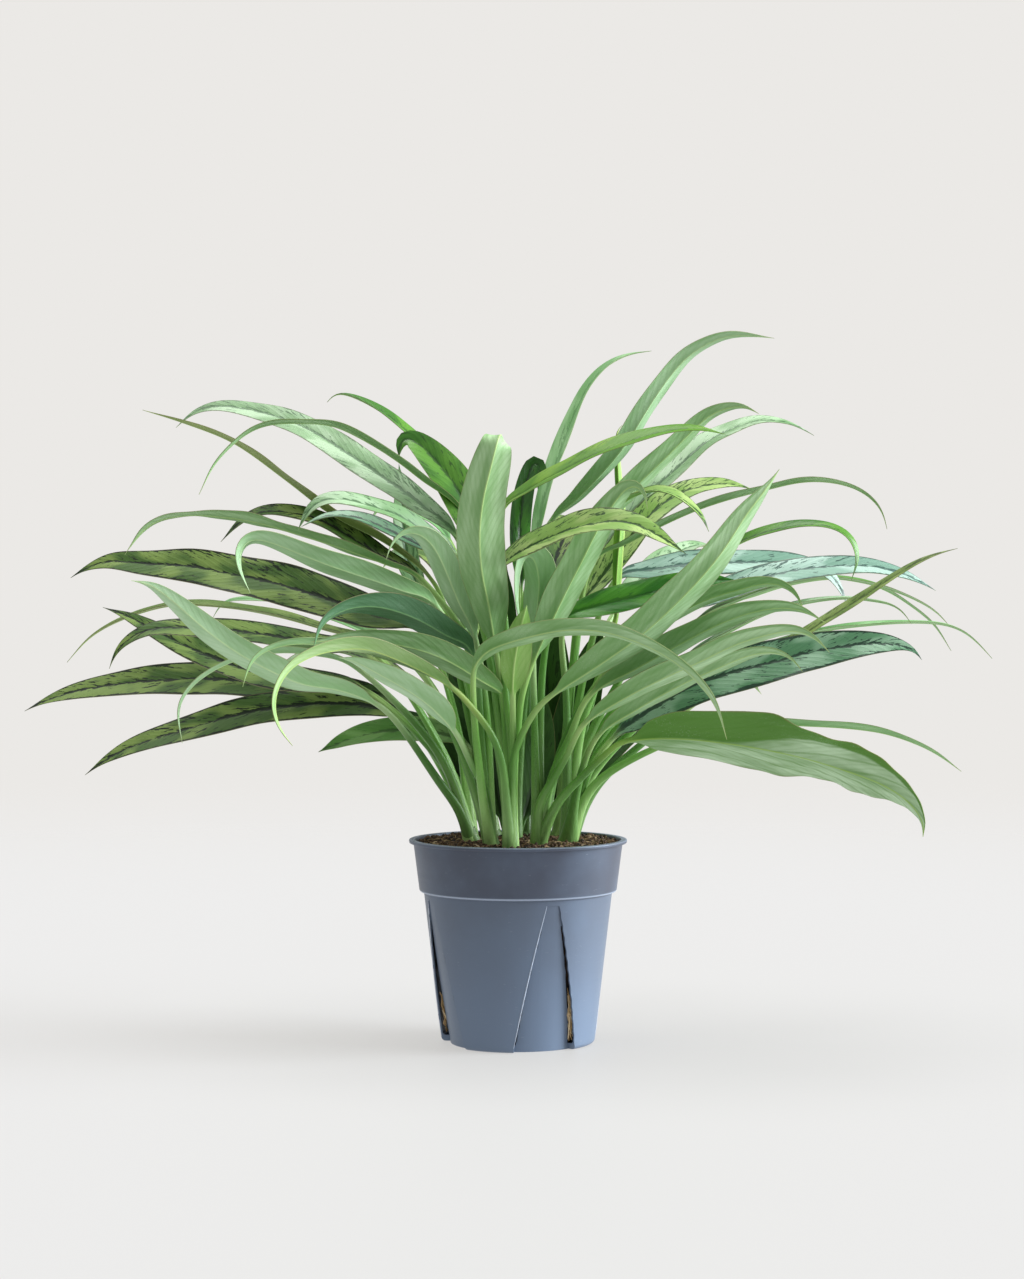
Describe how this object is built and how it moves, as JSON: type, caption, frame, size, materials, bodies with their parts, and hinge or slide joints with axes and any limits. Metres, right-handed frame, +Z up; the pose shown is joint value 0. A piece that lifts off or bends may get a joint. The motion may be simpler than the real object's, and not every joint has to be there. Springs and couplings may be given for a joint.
{
  "type": "potted chinese evergreen",
  "caption": "Narrow-leaved Chinese evergreen, its arching leaves on short canes in soil, in a round plastic nursery pot with slit side panels.",
  "frame": {"origin": "centre of the flat pad under the pot, on the surface that the pot stands on", "axes": "+Z up along the pot's axis, -Y towards the side that the picture shows, +X to that side's right"},
  "size_m": [0.772, 0.5075, 0.5502],
  "materials": {
    "pot_plastic": "satin slate grey moulded plastic",
    "soil": "rough dark brown potting mix",
    "foliage": "soft sheen, green, banded with silver and dark green"
  },
  "bodies": {
    "root": {"pot": "pot_plastic", "soil": "soil", "shoot_left": "foliage", "shoot_left_back": "foliage", "shoot_left_front": "foliage", "shoot_front": "foliage", "shoot_centre": "foliage", "shoot_right_front": "foliage", "shoot_right": "foliage", "shoot_right_back": "foliage", "shoot_back": "foliage"}
  },
  "joints": []
}
